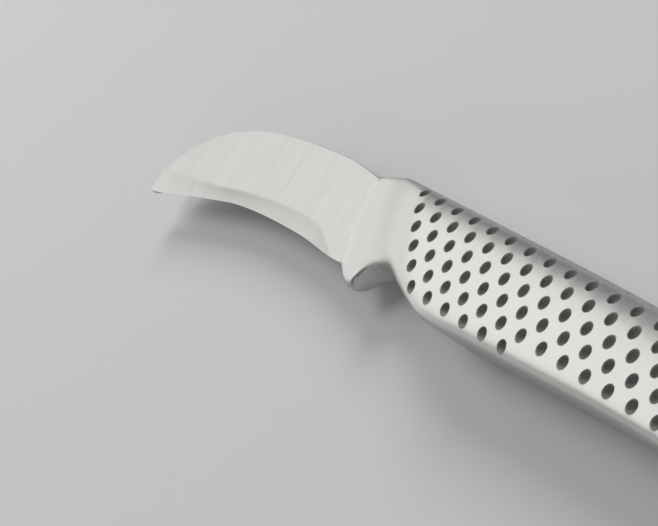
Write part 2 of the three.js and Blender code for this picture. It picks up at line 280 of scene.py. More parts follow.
# Smallest run and angle that count
LEAST_RUN = 1e-12
LEAST_ANGLE = 1e-9


class HandleForm:
    """The outer surface of bolster and handle, reached by station and by run across the section."""

    def __init__(self):
        h = settings("handle")
        self.h = h
        spine = (h.neck, h.rise, h.shoulder, h.front, h.grip, h.mid)
        guard = (h.nose, h.guard, h.guard_end, h.guard_back)
        notch = (h.notch_start, h.notch_front, h.notch_rise, h.notch, h.notch_end)
        belly = (h.swell, h.belly, h.waist)
        self.top = profile([(0.0, h.bolster_top), *spine, (h.length, h.butt_top)])
        self.bottom = profile([(0.0, h.bolster_bottom), *guard, *notch, *belly, (h.length, h.butt_bottom)])
        self.lower_fullness = profile([
            (0.0, h.guard_fullness),
            (h.notch_start[0], h.guard_fullness),
            (h.notch[0], h.notch_fullness),
            (h.swell[0], h.belly_fullness),
            (h.length, h.belly_fullness),
        ])
        self.keel = profile([
            (0.0, 0.0),
            (h.guard[0], h.keel_depth),
            (h.guard_back[0], h.keel_depth),
            (h.keel_fade, 0.0),
            (h.length, 0.0),
        ])
        steps = (np.arange(QUARTER_STEPS + 1) / QUARTER_STEPS) ** QUARTER_CROWDING
        self.angles = RIGHT_ANGLE * np.concatenate([1 - steps, -1 + steps[-2::-1]])
        self.middle = len(steps) - 1
        swell = self.runs(np.array([h.swell[0]]))[0]
        self.sheet_up = swell[0]
        self.sheet_down = -swell[-1]
        round_start = h.length - h.butt_round
        self.sheet_end = round_start + h.butt_round * RIGHT_ANGLE
        shell_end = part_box("handle_shell_left")[1].x - own_origin().x
        self.butt_reach = min(h.butt_round, shell_end - round_start)
        self.plan_rows(swell)

    def plan_rows(self, swell):
        """Runs of the dimple rows, and how far up and down they are kept true."""
        h = self.h
        d = settings("dimples")
        rise = (d.top_row - h.thickest) / (self.top(h.swell[0]) - h.thickest)
        first = np.interp(-math.asin(rise), -self.angles, swell)
        self.row_runs = [first - row * d.pitch / 2 for row in range(d.rows)]
        margin = d.radius + d.lip + d.paint_edge
        self.keep_up = self.row_runs[0] + margin
        self.keep_down = margin - self.row_runs[-1]

    def half(self, x, height):
        """Half thickness at a place on the side."""
        h = self.h
        line = joint_line(height)
        flare = smoothstep(x, line, line + h.flare_length - h.flare_slant * height)
        rear = smoothstep(x, h.waist[0], h.length)
        full = h.front_thickness + (h.thickness - h.front_thickness) * flare
        return (full - (h.thickness - h.butt_thickness) * rear) / 2

    def section(self, station, angle, depth=0.0, shrink=1.0):
        """Points at an angle round the section, some depth under the surface."""
        h = self.h
        top = self.top(station) - depth
        bottom = self.bottom(station) + depth
        upper = angle > 0
        reach = np.where(upper, top - h.thickest, h.thickest - bottom)
        power = 2 / np.where(upper, h.spine_fullness, self.lower_fullness(station))
        level = h.thickest + reach * np.sin(angle)
        lean = np.maximum(0.0, 1 - station / h.bolster_length)
        x = station + lean * joint_line(level)
        width = np.maximum(0.0, np.cos(angle)) ** power
        bulge = np.where(upper, 0.0, self.keel(station) * (1 - width * width))
        middle = (top + bottom) / 2
        y = middle + (level - middle) * shrink - bulge
        z = (self.half(x, level) - depth) * shrink * width
        return x, y, np.where(np.abs(angle) > RIGHT_ANGLE - LEAST_ANGLE, 0.0, z)

    def runs(self, station):
        """Run of the surface from its thickest line to each angle, one row for each station."""
        _, y, z = self.section(station[:, None], self.angles[None, :])
        steps = np.hypot(np.diff(y, axis=1), np.diff(z, axis=1))
        run = np.concatenate([np.zeros((len(station), 1)), np.cumsum(steps, axis=1)], axis=1)
        return run[:, self.middle, None] - run

    def press(self, flat):
        """Presses points of the flat sheet (along, across, height) on to the form."""
        h = self.h
        along, across, depth = flat[:, 0], flat[:, 1], -flat[:, 2]
        front = np.maximum(0.0, 1 - along / h.front_round)
        depth = depth + h.front_round * (1 - np.sqrt(1 - np.minimum(front, 1.0) ** 2))
        offset = np.abs(along - h.front_round - h.joint_width) / h.joint_width
        depth = depth + h.joint_groove * np.maximum(0.0, 1 - offset)
        round_start = h.length - h.butt_round
        turn = np.clip((along - round_start) / h.butt_round, 0.0, RIGHT_ANGLE)
        outer = np.where(turn > 0, round_start + self.butt_reach * np.sin(turn), along)
        station = outer - depth * np.sin(turn)
        runs = self.runs(outer)
        run = across.copy()
        for sign, end, sheet, keep in (
            (1, runs[:, 0], self.sheet_up, self.keep_up),
            (-1, -runs[:, -1], self.sheet_down, self.keep_down),
        ):
            kept = np.minimum(keep, TRUE_WIDTH * end)
            beyond = kept + (sign * across - kept) * (end - kept) / (sheet - kept)
            run = np.where(sign * across > kept, sign * beyond, run)
        i = np.clip((runs >= run[:, None]).sum(axis=1) - 1, 0, len(self.angles) - 2)
        rows = np.arange(len(run))
        share = (runs[rows, i] - run) / np.maximum(runs[rows, i] - runs[rows, i + 1], LEAST_RUN)
        angle = self.angles[i] + (self.angles[i + 1] - self.angles[i]) * np.clip(share, 0.0, 1.0)
        return np.stack(self.section(station, angle, depth, np.cos(turn)), axis=1)

    def has_dimple(self, row, station):
        """Whether the pattern has a dimple there."""
        h = self.h
        d = settings("dimples")
        if not 0 <= row < d.rows or station >= h.length - d.butt_margin:
            return False
        if station < d.first_station + row * d.pitch / 2 - NEAR:
            return False
        point = self.press(np.array([[station, self.row_runs[row], 0.0]]))[0]
        return point[1] - self.bottom(station) >= d.belly_margin


# Modelling helpers

def own_origin():
    """Middle of the joint line on the knife's middle plane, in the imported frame."""
    b = settings("blade")
    shell_low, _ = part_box("handle_shell_left")
    blade_low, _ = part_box("blade")
    tip = b.heel_edge - b.edge_drop
    return Vector((shell_low.x - settings("handle").bolster_length, blade_low.y - tip, shell_low.z))


def select_only(*pieces):
    """Selects these objects and makes the first one active."""
    bpy.ops.object.select_all(action="DESELECT")
    for piece in pieces:
        piece.select_set(True)
    bpy.context.view_layer.objects.active = pieces[0]


def edit(piece):
    """Opens one object in edit mode with everything selected."""
    select_only(piece)
    bpy.ops.object.mode_set(mode="EDIT")
    bpy.ops.mesh.select_mode(type="VERT")
    bpy.ops.mesh.select_all(action="SELECT")


def leave_edit():
    """Goes back to object mode."""
    bpy.ops.object.mode_set(mode="OBJECT")


def pick(piece, kind, test):
    """Selects the verts or edges that pass a test, and nothing else."""
    bpy.ops.mesh.select_mode(type=kind.upper().removesuffix("S"))
    bpy.ops.mesh.select_all(action="DESELECT")
    cage = bmesh.from_edit_mesh(piece.data)
    for element in getattr(cage, kind):
        element.select = test(element)
    cage.select_flush_mode()
    bmesh.update_edit_mesh(piece.data)


def pick_boundary(piece):
    """Selects the open edges."""
    pick(piece, "edges", lambda edge: edge.is_boundary)


def places(piece):
    """All vertex places as an array."""
    flat = np.empty(len(piece.data.vertices) * 3)
    piece.data.vertices.foreach_get("co", flat)
    return flat.reshape(-1, 3)


def move_all(piece, points):
    """Moves every vertex to its new place."""
    piece.data.vertices.foreach_set("co", np.ascontiguousarray(points).ravel())
    piece.data.update()


def apply_modifier(piece, kind, **values):
    """Adds a modifier, sets it and applies it."""
    select_only(piece)
    modifier = piece.modifiers.new(kind.title(), kind)
    for name, value in values.items():
        setattr(modifier, name, value)
    bpy.ops.object.modifier_apply(modifier=modifier.name)


def mirror_and_cap(piece):
    """Mirrors a half skin over the middle plane and caps its two open ends."""
    apply_modifier(
        piece, "MIRROR", use_axis=(False, False, True), use_mirror_merge=True, merge_threshold=NEAR
    )
    edit(piece)
    bpy.ops.mesh.fill_holes(sides=0)
    bpy.ops.mesh.select_all(action="SELECT")
    bpy.ops.mesh.normals_make_consistent(inside=False)
    leave_edit()


def block(name, low, high):
    """A box between two corners."""
    middle = [(a + b) / 2 for a, b in zip(low, high)]
    bpy.ops.mesh.primitive_cube_add(size=1.0, location=middle)
    box = bpy.context.object
    box.name = name
    box.scale = [b - a for a, b in zip(low, high)]
    bpy.ops.object.transform_apply()
    return box


def cut_or_join(piece, tool, operation):
    """Cuts a tool out of a piece or joins it on, and removes the tool."""
    apply_modifier(piece, "BOOLEAN", object=tool, operation=operation, solver="EXACT")
    bpy.data.objects.remove(tool)


def tang_block(name, clearance):
    """The tang, or its slot where a clearance is given."""
    b = settings("blade")
    line = joint_line(b.tang_centre)
    front = line - b.tang_height * settings("handle").line_slope
    half_height = b.tang_height / 2 + clearance
    half_thick = b.tang_thickness / 2 + clearance
    low = (front, b.tang_centre - half_height, -half_thick)
    high = (line + b.tang_length + clearance, b.tang_centre + half_height, half_thick)
    return block(name, low, high)


def finish_piece(piece, name, node, sharp):
    """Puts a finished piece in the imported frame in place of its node."""
    piece.name = name
    piece.data.name = name
    piece.location = own_origin()
    select_only(piece)
    bpy.ops.object.transform_apply()
    bpy.ops.object.material_slot_remove_unused()
    bpy.ops.object.shade_smooth_by_angle(angle=math.radians(sharp))
    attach(piece, "root")
    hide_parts(node)


# Blade

# Shares of the blade's length and of its fall, from heel to tip
SPINE_SHAPE = (
    (0.0, 0.0),
    (0.1, -0.022),
    (0.2, -0.022),
    (0.42, 0.031),
    (0.62, 0.13),
    (0.79, 0.316),
    (0.89, 0.521),
    (0.95, 0.7),
    (0.985, 0.853),
    (1.0, 1.0),
)
EDGE_SHAPE = (
    (-0.065, -0.011),
    (0.0, 0.014),
    (0.064, 0.014),
    (0.18, -0.004),
    (0.305, 0.033),
    (0.43, 0.1),
    (0.56, 0.22),
    (0.69, 0.433),
    (0.81, 0.647),
    (0.93, 0.881),
    (1.0, 1.0),
)


# Points on each stretch of an outline
STRETCH_POINTS = 60
# Faces along the blade and across half of it
BLADE_GRID = (180, 50)
# Shares of the blade's length, from the joint: where the bevel is narrowest, and where it has its heel height
BEVEL_NARROWEST = 0.58
BEVEL_WIDE = 0.2
LEAST_BEVEL = 0.05 * MM
# Largest share of the blade's height that a rounded corner takes
CORNER_SHARE = 0.1
# Shares of the run across half the blade: flat spine, rounded corner, flat side, ground bevel, edge
ACROSS_MARKS = (0.0, 0.06, 0.2, 0.6, 0.98, 1.0)
BLADE_SHARP = 38.0


def outline(shape, heel, drop):
    """Smooth line through a shape's points, as (place, height) rows from tip to heel."""
    length = settings("blade").length
    points = np.array([(-length * along, heel - drop * fall) for along, fall in shape])
    ends = np.concatenate([points[:1], points, points[-1:]])
    t = np.linspace(0.0, 1.0, STRETCH_POINTS)[:, None]
    spans = []
    for before, start, stop, after in zip(ends, ends[1:], ends[2:], ends[3:]):
        lead = (stop - before) / 2
        trail = (after - start) / 2
        cubic = (2 * start - 2 * stop + lead + trail) * t**3
        square = (-3 * start + 3 * stop - 2 * lead - trail) * t**2
        spans.append(cubic + square + lead * t + start)
    return np.concatenate(spans)[::-1]


def blade_half(along, across):
    """Points of the blade's left half: along from tip to heel, across from spine to edge, both 0 to 1."""
    b = settings("blade")
    h = settings("handle")
    spine = outline(SPINE_SHAPE, b.heel_spine, b.spine_drop)
    edge = outline(EDGE_SHAPE, b.heel_edge, b.edge_drop)
    station = -(b.length - b.shoulder_gap) * (1 - along)
    lean = np.maximum(0.0, 1 + station / h.line_fade)

    def place(height):
        return station - b.shoulder_gap + lean * joint_line(height)

    def spine_at(x):
        return np.where(x > 0, b.heel_spine, np.interp(x, spine[:, 0], spine[:, 1]))

    top = spine_at(place(spine_at(station)))
    edge_place = place(np.full_like(station, b.heel_edge))
    bottom = np.interp(edge_place, edge[:, 0], edge[:, 1])
    height = top - bottom
    corner = np.minimum(b.spine_round, CORNER_SHARE * height)
    bevel_line = profile([
        (-b.length, b.bevel_tip),
        (-BEVEL_NARROWEST * b.length, b.bevel_middle),
        (-BEVEL_WIDE * b.length, b.bevel_heel),
        (0.0, b.bevel_heel),
    ])
    share = np.clip(1 + (edge_place - b.bevel_end) / b.bevel_runout, 0.0, 1.0)
    kept = 1 - share**b.bevel_power
    bevel = np.maximum(LEAST_BEVEL, bevel_line(edge_place) * kept)
    ground = np.minimum(bevel, height - corner)
    nose = 1 - smoothstep(edge_place, -b.length, -b.length + b.nose_length)

    def removed(fall):
        """Depth ground off at a share of the way down the bevel, which is hollow."""
        ease = b.bevel_ease / b.bevel_middle
        slope = np.where(fall < ease, fall * fall / (2 * ease), fall - ease / 2) / (1 - ease / 2)
        hollow = slope * (1 + b.bevel_hollow) - b.bevel_hollow * slope * slope
        return (b.thickness - b.edge_width) / 2 * hollow * kept * (1 - b.nose_blunt * nose)

    spans = zip(ACROSS_MARKS, ACROSS_MARKS[1:])
    part = [np.clip((across - start) / (stop - start), 0.0, 1.0) for start, stop in spans]
    fall = 1 - (1 - part[3]) * ground / bevel
    turn = part[1] * RIGHT_ANGLE
    corner_half = b.thickness / 2 - removed(1 - ground / bevel)
    depth = corner * (1 - np.cos(turn)) + (height - corner - ground) * part[2] + ground * part[3]
    level = top - depth
    side = np.where(part[3] > 0, b.thickness / 2 - removed(fall), corner_half)
    z = np.where(part[1] < 1, (corner_half - corner) * part[0] + corner * np.sin(turn), side)
    z = z * (1 - part[4])
    return np.stack([place(level), level, z], axis=1)


class TOURNE_OT_blade(bpy.types.Operator):
    """Models the curved blade with its bevel and tang"""

    bl_idname = "tourne.blade"
    bl_label = "Blade"

    def execute(self, context):
        bpy.ops.mesh.primitive_grid_add(x_subdivisions=BLADE_GRID[0], y_subdivisions=BLADE_GRID[1], size=1.0)
        blade = context.object
        grid = places(blade) + 0.5
        move_all(blade, blade_half(grid[:, 0], grid[:, 1]))
        mirror_and_cap(blade)
        cut_or_join(blade, tang_block("tang", 0.0), "UNION")
        blade.data.materials.append(ground_steel())
        finish_piece(blade, "ground_blade", "blade", BLADE_SHARP)
        return {"FINISHED"}


# Bolster and dimpled shells

RING_VERTICES = 16
# How close counts as on a cell's ring, as a share of its reach, and how close two cells are welded
RING_TOLERANCE = 0.01
CELL_WELD = 0.01 * MM
PLAIN_MARK = "plain"
PAINT_MARK = "paint"
# Each ring of a plain cell, as a share of the one round it
PLAIN_RINGS = (0.68, 0.52)
# Share of the cup's radius that its floor takes, and its wall as shares of radius and depth
CUP_FLOOR = 0.28
CUP_WALL = ((0.55, 0.86), (0.78, 0.62), (0.93, 0.32), (1.0, 0.08))
# Spacing of the cuts for the belly's corner, and how far below the thickest line they stop
BELLY_STEP = 0.25 * MM
BELLY_STOP = 1.2 * MM
# Spacing of the cuts on the shells' inner face, and length of the last row of faces at the butt
INNER_STEP_ALONG = 3 * MM
INNER_STEP_ACROSS = 1.2 * MM
POLE_ROW = 0.8 * MM
# Cuts on the bolster, as shares of the front radius and of the joint line's half width
ROUND_CUTS = (0.05, 0.2, 0.5, 1.0)
GROOVE_CUTS = (1.0, 2.0, 4.0)
# Vertices pressed at once, to spare memory
PRESS_BATCH = 6000
HANDLE_SHARP = 50.0


def widen(factor):
    """Scales the selection about the cell's middle, in the plane of the sheet."""
    bpy.ops.transform.resize(value=(factor, factor, 1.0), center_override=(0.0, 0.0, 0.0))


def square_up(piece, reach):
    """Turns the selected ring into a diamond whose copies tile the sheet."""
    tolerance = RING_TOLERANCE * reach

    def on_ring(place):
        return place.xy.length > reach - tolerance

    def on_diagonal(place):
        return on_ring(place) and abs(abs(place.x) - abs(place.y)) < tolerance

    def between(place):
        return on_ring(place) and min(abs(place.x), abs(place.y)) > tolerance and not on_diagonal(place)

    step = 2 * math.pi / RING_VERTICES
    # Both groups are picked while all are still on the ring
    cage = bmesh.from_edit_mesh(piece.data)
    groups = []
    for test in (on_diagonal, between):
        groups.append({v.index for v in cage.verts if test(v.co)})
    for group, angle in zip(groups, (math.pi / 4, step)):
        factor = 1 / (math.cos(angle) + math.sin(angle))
        pick(piece, "verts", lambda vertex: vertex.index in group)
        widen(factor)


def plain_cell(reach):
    """One diamond of plain sheet."""
    bpy.ops.mesh.primitive_circle_add(vertices=RING_VERTICES, radius=reach, fill_type="NGON")
    cell = bpy.context.object
    edit(cell)
    square_up(cell, reach)
    bpy.ops.mesh.select_all(action="SELECT")
    for shrink in PLAIN_RINGS:
        bpy.ops.mesh.inset(thickness=0.0)
        widen(shrink)
    bpy.ops.mesh.poke()
    bpy.ops.mesh.select_all(action="SELECT")
    bpy.ops.mesh.subdivide(number_cuts=1)
    leave_edit()
    plain = cell.data.attributes.new(PLAIN_MARK, "INT", "FACE")
    plain.data.foreach_set("value", [1] * len(cell.data.polygons))
    return cell


def dimple_cell(reach):
    """One diamond of sheet with a cup pressed into it, painted inside."""
    d = settings("dimples")
    rings = (
        *CUP_WALL,
        (1.0 + d.lip / d.radius, 0.0),
        (1.0 + (d.lip + d.paint_edge) / d.radius, 0.0),
    )
    floor_radius = CUP_FLOOR * d.radius
    bpy.ops.mesh.primitive_circle_add(
        vertices=RING_VERTICES, radius=floor_radius, fill_type="TRIFAN", location=(0.0, 0.0, -d.depth)
    )
    bpy.ops.object.transform_apply()
    cell = bpy.context.object
    edit(cell)
    pick_boundary(cell)
    radius, depth = floor_radius, d.depth
    for share, deep in rings:
        bpy.ops.mesh.extrude_edges_move()
        widen(share * d.radius / radius)
        bpy.ops.transform.translate(value=(0.0, 0.0, depth - deep * d.depth))
        radius, depth = share * d.radius, deep * d.depth
    bpy.ops.mesh.extrude_edges_move()
    widen(reach / radius)
    square_up(cell, reach)
    pick_boundary(cell)
    bpy.ops.mesh.subdivide(number_cuts=1)
    leave_edit()
    return cell


def mark_cell(cell):
    """Marks the plain faces, and how much paint each vertex of a dimple carries."""
    d = settings("dimples")
    painted = d.radius + d.lip + d.paint_edge
    middles = [face.center.xy.length for face in cell.data.polygons]
    plain = cell.data.attributes.new(PLAIN_MARK, "INT", "FACE")
    plain.data.foreach_set("value", [int(reach > painted) for reach in middles])
    paint = cell.data.attributes.new(PAINT_MARK, "FLOAT", "POINT")
    reaches = np.hypot(*places(cell)[:, :2].T)
    paint.data.foreach_set("value", np.clip((painted - reaches) / d.paint_edge, 0.0, 1.0))


def trim(piece, place, normal):
    """Cuts the sheet along a line and drops what lies beyond it."""
    edit(piece)
    bpy.ops.mesh.bisect(plane_co=place, plane_no=normal, clear_outer=True, threshold=WELD)
    leave_edit()


def flat_sheet(form):
    """The whole flat sheet of bolster and handle, dimples included."""
    d = settings("dimples")
    reach = d.pitch / 2
    cells = {True: dimple_cell(reach), False: plain_cell(reach)}
    mark_cell(cells[True])
    finish = satin_steel()
    for cell in cells.values():
        cell.data.materials.append(finish)
    copies = []
    above = math.ceil((form.sheet_up - form.row_runs[0]) / reach) + 1
    below = math.ceil((form.sheet_down + form.row_runs[0]) / reach) + 1
    for row in range(-above, below + 1):
        across = form.row_runs[0] - row * reach
        first = d.first_station + row * reach
        start = math.floor(-(first + reach) / d.pitch)
        stop = math.ceil((form.sheet_end + reach - first) / d.pitch)
        for column in range(start, stop + 1):
            along = first + column * d.pitch
            cell = cells[form.has_dimple(row, along)]
            copy = bpy.data.objects.new("cell", cell.data.copy())
            copy.location = (along, across, 0.0)
            bpy.context.scene.collection.objects.link(copy)
            copies.append(copy)
    for cell in cells.values():
        bpy.data.objects.remove(cell)
    select_only(*copies)
    bpy.ops.object.join()
    sheet = bpy.context.object
    bpy.ops.object.transform_apply()
    edit(sheet)
    bpy.ops.mesh.remove_doubles(threshold=CELL_WELD)
    leave_edit()
    trim(sheet, (0.0, form.sheet_up, 0.0), (0.0, 1.0, 0.0))
    trim(sheet, (0.0, -form.sheet_down, 0.0), (0.0, -1.0, 0.0))
    edit(sheet)
    for across in np.arange(-form.sheet_down, -BELLY_STOP, BELLY_STEP)[1:].tolist():
        cut_belly(sheet, across)
    leave_edit()
    sheet.data.attributes.remove(sheet.data.attributes[PLAIN_MARK])
    return sheet


def cut_belly(sheet, across):
    """Divides the plain cells along one line, so that the belly's tight corner comes out even."""
    bpy.ops.mesh.select_mode(type="FACE")
    bpy.ops.mesh.select_all(action="DESELECT")
    cage = bmesh.from_edit_mesh(sheet.data)
    plain = cage.faces.layers.int[PLAIN_MARK]
    for face in cage.faces:
        if face[plain]:
            heights = [v.co.y for v in face.verts]
            face.select = min(heights) < across < max(heights)
    cage.select_flush_mode()
    bmesh.update_edit_mesh(sheet.data)
    bpy.ops.mesh.bisect(plane_co=(0.0, across, 0.0), plane_no=(0.0, 1.0, 0.0), threshold=WELD)


def press_on(piece, form):
    """Presses a flat piece on to the handle's form."""
    flat = places(piece)
    parts = np.array_split(flat, max(1, len(flat) // PRESS_BATCH))
    move_all(piece, np.concatenate([form.press(part) for part in parts]))
    edit(piece)
    bpy.ops.mesh.remove_doubles(threshold=WELD)
    leave_edit()


def twin_of(piece):
    """A copy with its own mesh."""
    twin = bpy.data.objects.new(piece.name, piece.data.copy())
    bpy.context.scene.collection.objects.link(twin)
    return twin


def reach_pole(sheet, form):
    """Ends the sheet in one even row of faces that meet at the butt's pole."""
    last = form.sheet_end - POLE_ROW
    trim(sheet, (last, 0.0, 0.0), (1.0, 0.0, 0.0))
    edit(sheet)

    def at_end(edge):
        return edge.is_boundary and all(v.co.x > last - NEAR for v in edge.verts)

    pick(sheet, "edges", at_end)
    bpy.ops.mesh.extrude_edges_move()
    bpy.ops.transform.translate(value=(form.sheet_end - last, 0.0, 0.0))
    leave_edit()


def thicken(sheet, wall, form):
    """Gives the flat sheet its plain inner face."""
    edit(sheet)
    pick_boundary(sheet)
    bpy.ops.mesh.extrude_edges_move()
    bpy.ops.transform.translate(value=(0.0, 0.0, -wall))
    bpy.ops.mesh.edge_face_add()
    bpy.ops.mesh.select_mode(type="FACE")
    start = settings("handle").bolster_length
    for along in np.arange(start, form.sheet_end, INNER_STEP_ALONG)[1:]:
        cut_inner(sheet, wall, (along, 0.0, 0.0), (1.0, 0.0, 0.0))
    for across in np.arange(-form.sheet_down, form.sheet_up, INNER_STEP_ACROSS)[1:]:
        cut_inner(sheet, wall, (0.0, across, 0.0), (0.0, 1.0, 0.0))
    bpy.ops.mesh.select_all(action="SELECT")
    bpy.ops.mesh.normals_make_consistent(inside=False)
    leave_edit()


def cut_inner(sheet, wall, place, normal):
    """Divides the inner face along one line."""
    cage = bmesh.from_edit_mesh(sheet.data)
    for face in cage.faces:
        face.select = all(abs(v.co.z + wall) < NEAR for v in face.verts)
    cage.select_flush_mode()
    bmesh.update_edit_mesh(sheet.data)
    bpy.ops.mesh.bisect(plane_co=place, plane_no=normal, threshold=WELD)


class TOURNE_OT_handle(bpy.types.Operator):
    """Models the bolster and the two dimpled half shells from one pressed sheet"""

    bl_idname = "tourne.handle"
    bl_label = "Bolster and Handle"

    def execute(self, context):
        h = settings("handle")
        form = HandleForm()
        sheet = flat_sheet(form)
        bolster = twin_of(sheet)
        seam = (h.bolster_length, 0.0, 0.0)
        trim(bolster, (0.0, 0.0, 0.0), (-1.0, 0.0, 0.0))
        trim(bolster, seam, (1.0, 0.0, 0.0))
        edit(bolster)
        round_cuts = [share * h.front_round for share in ROUND_CUTS]
        groove_cuts = [h.front_round + h.joint_width * share for share in GROOVE_CUTS]
        for along in round_cuts + groove_cuts:
            bpy.ops.mesh.select_all(action="SELECT")
            place = (along, 0.0, 0.0)
            bpy.ops.mesh.bisect(plane_co=place, plane_no=(1.0, 0.0, 0.0), threshold=WELD)
        leave_edit()
        trim(sheet, seam, (-1.0, 0.0, 0.0))
        reach_pole(sheet, form)
        press_on(bolster, form)
        mirror_and_cap(bolster)
        cut_or_join(bolster, tang_block("slot", settings("blade").tang_clearance), "DIFFERENCE")
        thicken(sheet, h.wall, form)
        press_on(sheet, form)
        other = twin_of(sheet)
        other.scale.z = -1.0
        select_only(other)
        bpy.ops.object.transform_apply()
        for shell in (sheet, other):
            edit(shell)
            bpy.ops.mesh.normals_make_consistent(inside=False)
            leave_edit()
        finish_piece(bolster, "guard_bolster", "bolster", HANDLE_SHARP)
        finish_piece(sheet, "dimpled_shell_left", "handle_shell_left", HANDLE_SHARP)
        finish_piece(other, "dimpled_shell_right", "handle_shell_right", HANDLE_SHARP)
        return {"FINISHED"}


# Materials

# A mix node has sockets of the same name for each kind of data; these are its colours
COLOUR_A, COLOUR_B, COLOUR_RESULT = 6, 7, 2
# Tones between which most of the grain lies, share of broad grain in them, depth of the grain in metres
GRAIN_TONES = (0.3, 0.7)
BROAD_SHARE = 0.4
GRAIN_DEPTH = 2e-5
GLANCING_TINT = (0.86, 0.86, 0.85, 1.0)
# Paint: tones and shades of its grain, how far the grain wears its edge, where bare steel starts
PAINT_TONES = (0.35, 0.7)
PAINT_SHADES = (0.8, 1.25)
PAINT_WEAR = 0.4
PAINT_BARE = 0.3
PAINT_ROUGHNESS = 0.5
PAINT_GLOSS = 0.25


def node(tree, kind, **values):
    """Adds a node, setting attributes by name and inputs by their label."""
    made = tree.nodes.new(kind)
    for name, value in values.items():
        if hasattr(made, name):
            setattr(made, name, value)
        else:
            made.inputs[name.replace("_", " ")].default_value = value
    return made


def two_tones(tree, tones, dark, light):
    """A ramp from a dark colour at the first tone to a light one at the second."""
    ramp = node(tree, "ShaderNodeValToRGB")
    for element, tone, colour in zip(ramp.color_ramp.elements, tones, (dark, light)):
        element.position = tone
        element.color = (*colour, 1.0)
    return ramp


def new_material(name):
    """A material with an empty Principled shader, and its tree, shader and object coordinates."""
    material = bpy.data.materials.new(name)
    material.use_nodes = True
    tree = material.node_tree
    shader = tree.nodes["Principled BSDF"]
    place = node(tree, "ShaderNodeTexCoord")
    return material, tree, shader, place.outputs["Object"]


def grain_group():
    """Fine lines or specks: a height for the bump and a tone for colour and roughness."""
    known = bpy.data.node_groups.get("Steel Grain")
    if known:
        return known
    group = bpy.data.node_groups.new("Steel Grain", "ShaderNodeTree")
    face = group.interface
    face.new_socket("Vector", in_out="INPUT", socket_type="NodeSocketVector")
    for name in ("Fine Scale", "Broad Scale"):
        face.new_socket(name, in_out="INPUT", socket_type="NodeSocketFloat")
    for name in ("Height", "Tone"):
        face.new_socket(name, in_out="OUTPUT", socket_type="NodeSocketFloat")
    start = group.nodes.new("NodeGroupInput")
    end = group.nodes.new("NodeGroupOutput")
    fine = node(group, "ShaderNodeTexNoise", Detail=3.0, Roughness=0.6)
    broad = node(group, "ShaderNodeTexNoise", Detail=2.0, Roughness=0.5)
    blend = node(group, "ShaderNodeMix", data_type="FLOAT", Factor=BROAD_SHARE)
    link = group.links.new
    for noise, scale in ((fine, "Fine Scale"), (broad, "Broad Scale")):
        link(start.outputs["Vector"], noise.inputs["Vector"])
        link(start.outputs[scale], noise.inputs["Scale"])
    link(fine.outputs["Fac"], blend.inputs["A"])
    link(broad.outputs["Fac"], blend.inputs["B"])
    link(fine.outputs["Fac"], end.inputs["Height"])
    link(blend.outputs["Result"], end.inputs["Tone"])
    return group


def steel_nodes(name, colour, shade, stretch, scales, roughness, bump):
    """A satin steel whose grain is stretched along its grinding direction."""
    material, tree, shader, place = new_material(name)
    link = tree.links.new
    mapping = node(tree, "ShaderNodeMapping", Scale=stretch)
    grain = node(
        tree, "ShaderNodeGroup", node_tree=grain_group(), Fine_Scale=scales[0], Broad_Scale=scales[1]
    )
    rough = node(
        tree,
        "ShaderNodeMapRange",
        From_Min=GRAIN_TONES[0],
        From_Max=GRAIN_TONES[1],
        To_Min=roughness[0],
        To_Max=roughness[1],
    )
    ramp = two_tones(tree, GRAIN_TONES, [shade * c for c in colour], colour)
    relief = node(tree, "ShaderNodeBump", Strength=bump, Distance=GRAIN_DEPTH)
    link(place, mapping.inputs["Vector"])
    link(mapping.outputs["Vector"], grain.inputs["Vector"])
    link(grain.outputs["Tone"], rough.inputs["Value"])
    link(grain.outputs["Tone"], ramp.inputs["Fac"])
    link(grain.outputs["Height"], relief.inputs["Height"])
    link(rough.outputs["Result"], shader.inputs["Roughness"])
    link(ramp.outputs["Color"], shader.inputs["Base Color"])
    link(relief.outputs["Normal"], shader.inputs["Normal"])
    shader.inputs["Metallic"].default_value = 1.0
    shader.inputs["Specular Tint"].default_value = GLANCING_TINT
    return material


def ground_steel():
    """Blade steel, ground across from spine to edge."""
    return steel_nodes(
        "Cross-ground Steel",
        settings("blade").steel,
        shade=0.81,
        stretch=(1.0, 0.05, 0.05),
        scales=(4200.0, 900.0),
        roughness=(0.34, 0.44),
        bump=0.3,
    )


def satin_steel():
    """Handle steel with a fine even satin, and dark paint in its dimples."""
    material = steel_nodes(
        "Satin Steel",
        settings("handle").steel,
        shade=0.93,
        stretch=(0.6, 1.0, 1.0),
        scales=(5000.0, 120.0),
        roughness=(0.3, 0.38),
        bump=0.08,
    )
    paint_cups(material.node_tree)
    return material


